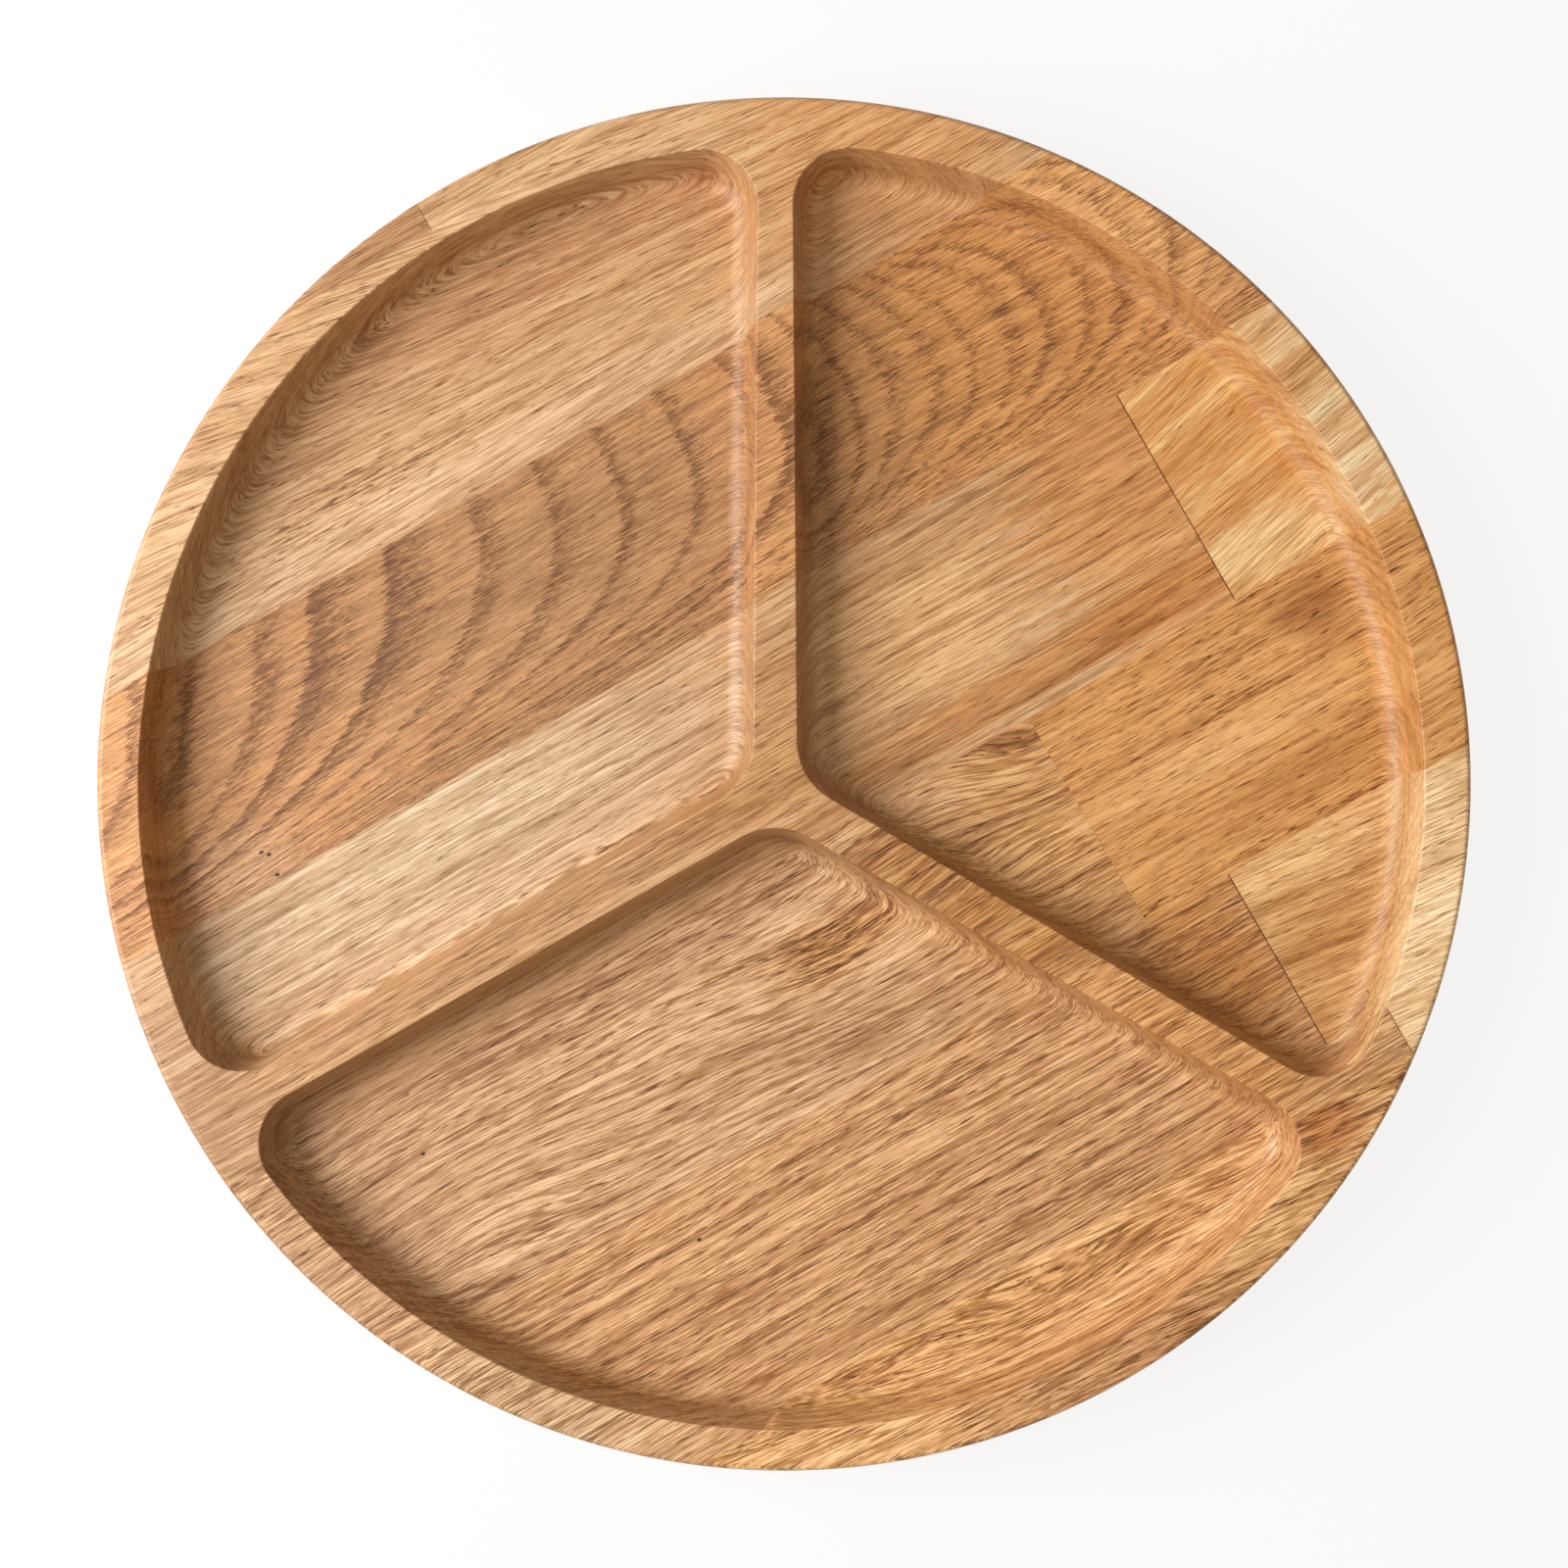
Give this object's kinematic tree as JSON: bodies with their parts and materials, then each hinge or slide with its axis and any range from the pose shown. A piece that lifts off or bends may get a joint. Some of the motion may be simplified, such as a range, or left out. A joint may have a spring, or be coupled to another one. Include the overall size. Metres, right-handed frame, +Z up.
{
  "type": "divided wooden serving tray",
  "caption": "Round oak serving tray glued up from spliced staves, with coved compartments parted by straight dividers that meet near the centre.",
  "frame": {"origin": "centre of the disc on its underside", "axes": "+Z up through the compartments' open tops, +X along the grain, +Y across the staves"},
  "size_m": [0.25, 0.25, 0.02],
  "materials": {
    "oak_1_left": "oiled oak, satin",
    "oak_1_right": "oiled oak, satin",
    "oak_2": "oiled oak, satin",
    "oak_3": "oiled oak, satin",
    "oak_4_left": "oiled oak, satin",
    "oak_4_right": "oiled oak, satin",
    "oak_5_left": "oiled oak, satin",
    "oak_5_right": "oiled oak, satin",
    "oak_6_left": "oiled oak, satin",
    "oak_6_right": "oiled oak, satin",
    "oak_7": "oiled oak, satin"
  },
  "bodies": {
    "root": {"stave_1_left": "oak_1_left", "stave_1_right": "oak_1_right", "stave_2": "oak_2", "stave_3": "oak_3", "stave_4_left": "oak_4_left", "stave_4_right": "oak_4_right", "stave_5_left": "oak_5_left", "stave_5_right": "oak_5_right", "stave_6_left": "oak_6_left", "stave_6_right": "oak_6_right", "stave_7": "oak_7"}
  },
  "joints": []
}
